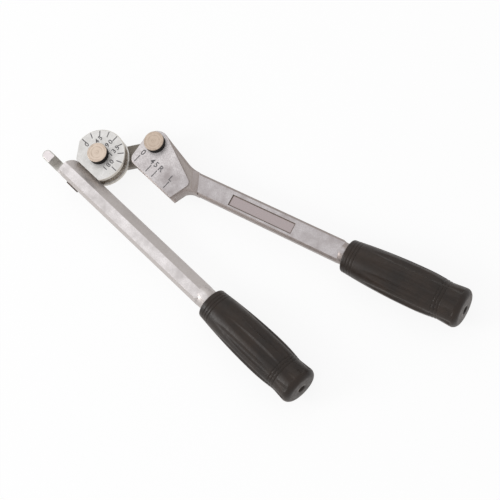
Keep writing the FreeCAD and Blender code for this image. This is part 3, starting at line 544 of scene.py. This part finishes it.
# Radii of the sleeve and their places from its neck, the bore and the vent, the rings at both
# ends, and the flutes, all in millimetres.
GRIP_LENGTH = 109.0
BELLY, BELLY_X = 17.9, 66.0
NECK, NECK_ROUND = 14.3, 1.5
WAIST, WAIST_X = 16.2, 91.0
FLARE, END_ROUND = 17.2, 5.5
PROFILE_BLEND = (-2.0, -1.0, 0.0, 1.0, 2.0)
MOUTH, VENT, VENT_DEPTH, VENT_ROUND = 8.05, 3.4, 9.0, 0.3
VENT_FLOOR, END_FLAT = 0.2, 6.0
RINGS, RING_X = 3, 5.0
RING_DEPTH, RING_WIDTH, RING_PITCH = 0.45, 0.55, 2.8
FLUTES, FLUTE_RADIUS, FLUTE_DEPTH, FLUTE_BLEND = 10, 5.0, 1.7, 0.35

# How finely the sleeve is meshed: points around, and steps along its ringed ends and belly.
AROUND = 160
RINGED_TO, RINGED_FROM, RINGED_END = 13.0, 83.0, 94.0
FINE_STEP, WIDE_STEP = 0.22, 1.3
NECK_STEPS, END_STEPS = 6, 10


def sleeve_radius(x):
    """Radius of the plain sleeve x millimetres from its neck."""
    if x < BELLY_X:
        run = BELLY_X - max(x, NECK_ROUND)
        radius = BELLY - (BELLY - NECK) * (run / (BELLY_X - NECK_ROUND)) ** 2
    elif x < WAIST_X:
        radius = BELLY - (BELLY - WAIST) * ((x - BELLY_X) / (WAIST_X - BELLY_X)) ** 2
    else:
        radius = WAIST + (FLARE - WAIST) * (x - WAIST_X) / (GRIP_LENGTH - END_ROUND - WAIST_X)
    return radius


def smooth_sleeve(x):
    """The sleeve's profile with its waist blended over a few millimetres."""
    return sum(sleeve_radius(x + shift) for shift in PROFILE_BLEND) / len(PROFILE_BLEND)


def smooth_min(a, b, k):
    """The smaller of a and b, with the corner between them rounded over k."""
    h = max(0.0, min(1.0, 0.5 + 0.5 * (b - a) / k))
    return b + (a - b) * h - k * h * (1.0 - h)


def grip_radius(x, angle):
    """Radius of the sleeve with its flutes and rings cut in."""
    radius = smooth_sleeve(x)
    pitch = 2 * math.pi / FLUTES
    off = (angle + pitch / 2) % pitch - pitch / 2
    centre = BELLY - FLUTE_DEPTH + FLUTE_RADIUS
    reach = centre * math.sin(off)
    if abs(reach) < FLUTE_RADIUS:
        hollow = centre * math.cos(off) - math.sqrt(FLUTE_RADIUS ** 2 - reach ** 2)
        radius = smooth_min(radius, hollow, FLUTE_BLEND)
    for start, way in ((RING_X, 1), (WAIST_X, -1)):
        for i in range(RINGS):
            far = abs(x - (start + way * i * RING_PITCH)) / RING_WIDTH
            radius -= RING_DEPTH * math.exp(-2.0 * far * far)
    return radius


def grip_stations():
    """Places along the grip, close together at its rings and wide apart on its belly."""
    stations = []
    x = NECK_ROUND
    while x < GRIP_LENGTH - END_ROUND:
        stations.append(x)
        fine = x < RINGED_TO or RINGED_FROM < x < RINGED_END
        x += FINE_STEP if fine else WIDE_STEP
    stations.append(GRIP_LENGTH - END_ROUND)
    return stations


def grip_rings():
    """(place, plain radius or None) from the bore's mouth round the outside to the vent."""
    rings = [(0.0, MOUTH), (0.0, NECK - NECK_ROUND)]
    for i in range(1, NECK_STEPS):
        turn = math.radians(90.0 * i / NECK_STEPS)
        rings.append((NECK_ROUND * (1 - math.cos(turn)), NECK - NECK_ROUND * (1 - math.sin(turn))))
    rings += [(x, None) for x in grip_stations()]
    rim = smooth_sleeve(GRIP_LENGTH - END_ROUND)
    for i in range(1, END_STEPS + 1):
        turn = math.radians(90.0 * i / END_STEPS)
        rings.append((GRIP_LENGTH - END_ROUND * (1 - math.sin(turn)),
                      rim - END_ROUND * (1 - math.cos(turn))))
    rings += [(GRIP_LENGTH, END_FLAT), (GRIP_LENGTH, VENT + VENT_ROUND),
              (GRIP_LENGTH - VENT_ROUND, VENT), (GRIP_LENGTH - VENT_DEPTH, VENT),
              (GRIP_LENGTH - VENT_DEPTH, VENT_FLOOR)]
    return rings


def add_grip(node, body, turn, material):
    """A moulded sleeve in place of its plain solid, laid along that solid's own axis."""
    along, across = lying_axes(turn)
    spots = [vertex.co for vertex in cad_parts[node].data.vertices]
    start = min(spot.dot(along) for spot in spots)
    sides = [spot.dot(across) for spot in spots]
    heights = [spot.z for spot in spots]
    middle = (min(sides) + max(sides)) / 2
    height = (min(heights) + max(heights)) / 2
    neck = along * start + across * middle + Vector((0.0, 0.0, height))

    build = bmesh.new()
    loops = []
    for x, plain in grip_rings():
        loop = []
        for i in range(AROUND):
            angle = 2 * math.pi * i / AROUND
            radius = plain if plain is not None else grip_radius(x, angle)
            spot = neck + along * x * MM
            spot += (across * math.sin(angle) + Vector((0, 0, 1)) * math.cos(angle)) * radius * MM
            loop.append(build.verts.new(spot))
        loops.append(loop)
    for before, after in zip(loops[:-1], loops[1:]):
        for i in range(AROUND):
            j = (i + 1) % AROUND
            build.faces.new((before[i], before[j], after[j], after[i]))
    bmesh.ops.recalc_face_normals(build, faces=build.faces)
    mesh = bpy.data.meshes.new(node + "_sleeve")
    build.to_mesh(mesh)
    build.free()
    for face in mesh.polygons:
        face.use_smooth = True
    piece = add_mesh(node + "_sleeve", mesh, material, body)
    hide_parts(node)


# -------------------------------------------------------------------- floor and light


def seen_rays(nodes, links, share=1.0):
    """The share given for camera, glossy and transmission rays, and 0 for the others."""
    rays = nodes.new("ShaderNodeLightPath")
    total = rays.outputs["Is Camera Ray"]
    for name in ("Is Glossy Ray", "Is Transmission Ray"):
        most = nodes.new("ShaderNodeMath")
        most.operation = "MAXIMUM"
        links.new(total, most.inputs[0])
        links.new(rays.outputs[name], most.inputs[1])
        total = most.outputs[0]
    part = nodes.new("ShaderNodeMath")
    part.operation = "MULTIPLY"
    part.inputs[1].default_value = share
    links.new(total, part.inputs[0])
    return part.outputs[0]


FLOOR_HALF = 3.0
FLOOR_DROP = 0.2 * MM
FLOOR_GLOW = 0.88


def add_floor():
    size = FLOOR_HALF
    mesh = bpy.data.meshes.new("floor")
    mesh.from_pydata([(-size, -size, 0.0), (size, -size, 0.0), (size, size, 0.0),
                      (-size, size, 0.0)], [], [(0, 1, 2, 3)])
    floor = bpy.data.objects.new("floor", mesh)
    floor.location.z = cad_low.z - FLOOR_DROP
    bpy.context.scene.collection.objects.link(floor)
    material = bpy.data.materials.new("floor_paper")
    material.use_nodes = True
    nodes, links = material.node_tree.nodes, material.node_tree.links
    paper = nodes["Principled BSDF"]
    paper.inputs["Base Color"].default_value = (0.93, 0.93, 0.93, 1.0)
    paper.inputs["Roughness"].default_value = 0.9
    paper.inputs["Specular IOR Level"].default_value = 0.0
    glow = nodes.new("ShaderNodeEmission")
    glow.inputs["Color"].default_value = (1.0, 1.0, 1.0, 1.0)
    glow.inputs["Strength"].default_value = 1.0
    blend = nodes.new("ShaderNodeMixShader")
    links.new(seen_rays(nodes, links, FLOOR_GLOW), blend.inputs["Fac"])
    links.new(paper.outputs[0], blend.inputs[1])
    links.new(glow.outputs[0], blend.inputs[2])
    links.new(blend.outputs[0], nodes["Material Output"].inputs["Surface"])
    mesh.materials.append(material)


def add_lamp(name, place, aim, size, power):
    data = bpy.data.lights.new(name, "AREA")
    data.shape = "DISK"
    data.size = size
    data.energy = power
    lamp = bpy.data.objects.new(name, data)
    lamp.location = place
    lamp.rotation_mode = "QUATERNION"
    lamp.rotation_quaternion = (Vector(aim) - Vector(place)).to_track_quat("-Z", "Y")
    bpy.context.scene.collection.objects.link(lamp)


def add_world():
    """Soft light, paler from above, before a white backdrop."""
    world = bpy.data.worlds.new("studio")
    bpy.context.scene.world = world
    world.use_nodes = True
    nodes, links = world.node_tree.nodes, world.node_tree.links
    sky = nodes["Background"]
    place = nodes.new("ShaderNodeTexCoord")
    split = nodes.new("ShaderNodeSeparateXYZ")
    links.new(place.outputs["Generated"], split.inputs[0])
    ramp = nodes.new("ShaderNodeValToRGB")
    ramp.color_ramp.elements[0].position = 0.0
    ramp.color_ramp.elements[0].color = (0.30, 0.29, 0.28, 1.0)
    ramp.color_ramp.elements[1].position = 0.75
    ramp.color_ramp.elements[1].color = (0.85, 0.85, 0.86, 1.0)
    links.new(split.outputs["Z"], ramp.inputs["Fac"])
    pick = nodes.new("ShaderNodeMix")
    pick.data_type = "RGBA"
    links.new(seen_rays(nodes, links), pick.inputs["Factor"])
    links.new(ramp.outputs["Color"], pick.inputs["A"])
    pick.inputs["B"].default_value = (1.0, 1.0, 1.0, 1.0)
    links.new(pick.outputs["Result"], sky.inputs["Color"])


add_camera()
add_world()
add_floor()
add_lamp("key", (-0.9, -1.4, 1.0), (0.12, 0.0, 0.0), 1.0, 16.0)
add_lamp("fill", (-0.9, 1.0, 1.5), (0.12, 0.0, 0.0), 1.2, 2.0)
finish_metal()
for forging, edge_width in SOFT_EDGES:
    soften(forging, edge_width * MM)
add_marks()
add_panel_shade()
grip_rubber = rubber("grip_rubber")
add_grip("form_grip", "form_side", 0.0, grip_rubber)
add_grip("bending_grip", "bending_side", HANDLE_TURN, grip_rubber)
bpy.context.scene.view_settings.view_transform = "Standard"
